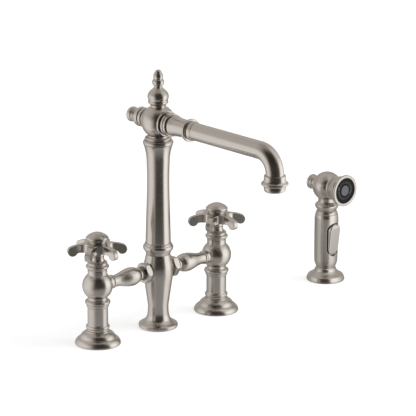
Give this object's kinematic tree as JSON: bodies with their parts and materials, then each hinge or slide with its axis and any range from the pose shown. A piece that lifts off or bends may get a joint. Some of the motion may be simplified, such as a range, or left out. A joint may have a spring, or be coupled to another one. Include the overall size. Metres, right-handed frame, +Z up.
{
  "type": "bridge kitchen faucet",
  "caption": "Deck-mounted bridge kitchen faucet with a swivelling spout, cross handles and a pull-out side spray with a trigger.",
  "frame": {"origin": "middle of the column's foot on the deck's surface", "axes": "+Z up along the column, -Y towards the user, +X towards the cold valve and the spray"},
  "size_m": [0.4671, 0.2864, 0.4032],
  "materials": {
    "brushed_nickel": "brushed nickel plating over brass",
    "brass": "machined",
    "zinc_plated_steel": "zinc plated",
    "steel_mesh": "woven mesh",
    "black_rubber": "matte",
    "black_plastic": "moulded",
    "grey_plastic": "moulded",
    "acetal": "machined"
  },
  "bodies": {
    "faucet_body": {"column_foot": "brushed_nickel", "column_body": "brushed_nickel", "column_shank": "brass", "column_collar": "brushed_nickel", "riser_tube": "brushed_nickel", "riser_cap": "brushed_nickel", "swivel_bushing": "acetal", "base_flanges": "brushed_nickel", "supply_shanks": "brass", "pedestals": "brushed_nickel", "valve_bodies": "brushed_nickel", "bonnets": "brushed_nickel", "cone_nuts": "brushed_nickel", "cartridges": "brass", "bridge_legs": "brushed_nickel", "union_nuts": "brushed_nickel", "union_washers": "black_rubber", "spray_holder": "brushed_nickel", "deck_gaskets": "black_rubber", "deck_washers": "zinc_plated_steel", "lock_nuts": "brass"},
    "spout_arm": {"swivel_post": "brass", "spout_hub": "brushed_nickel", "finial": "brushed_nickel", "rear_ferrule": "brushed_nickel", "rear_knob": "brushed_nickel", "arm_ferrule": "brushed_nickel", "spout_sleeve": "brushed_nickel", "spout_collar": "brushed_nickel", "spout_tube": "brushed_nickel", "outlet_ring": "brushed_nickel", "aerator_housing": "brushed_nickel", "aerator_screen": "steel_mesh"},
    "left_valve_handle": {"left_handle_stem": "brass", "left_handle": "brushed_nickel", "left_handle_screw": "zinc_plated_steel", "left_handle_cap": "brushed_nickel"},
    "right_valve_handle": {"right_handle_stem": "brass", "right_handle": "brushed_nickel", "right_handle_screw": "zinc_plated_steel", "right_handle_cap": "brushed_nickel"},
    "spray_hose_end": {"hose_coupling": "brass"},
    "handset": {"spray_grip": "brushed_nickel", "trigger_pin": "zinc_plated_steel", "spray_neck": "brushed_nickel", "spray_head": "brushed_nickel", "spray_knob": "brushed_nickel", "nozzle_bell": "brushed_nickel", "spray_face": "black_plastic", "nozzle_core": "grey_plastic"},
    "spray_trigger": {"trigger": "brushed_nickel"}
  },
  "joints": [
    {"name": "spout_swivel", "type": "hinge", "parent": "faucet_body", "child": "spout_arm", "pos_m": [0, 0, 0.2563], "axis": [0, 0, 1], "continuous": true},
    {"name": "left_handle_turn", "type": "hinge", "parent": "faucet_body", "child": "left_valve_handle", "pos_m": [-0.1016, 0, 0.1233], "axis": [0, 0, 1], "range_deg": [0, 90]},
    {"name": "right_handle_turn", "type": "hinge", "parent": "faucet_body", "child": "right_valve_handle", "pos_m": [0.1016, 0, 0.1233], "axis": [0, 0, 1], "range_deg": [-90, 0]},
    {"name": "spray_lift", "type": "slide", "parent": "faucet_body", "child": "spray_hose_end", "axis": [0, 0, 1], "range_m": [0, 0.15]},
    {"name": "handset_swivel", "type": "hinge", "parent": "spray_hose_end", "child": "handset", "pos_m": [0.3048, 0, 0.019], "axis": [0, 0, 1], "continuous": true},
    {"name": "trigger_press", "type": "hinge", "parent": "handset", "child": "spray_trigger", "pos_m": [0.3048, -0.0116, 0.0383], "axis": [-1, 0, 0], "range_deg": [0, 4.5], "stiffness_Nm_per_rad": 0.8, "springref_deg": -4.58}
  ]
}
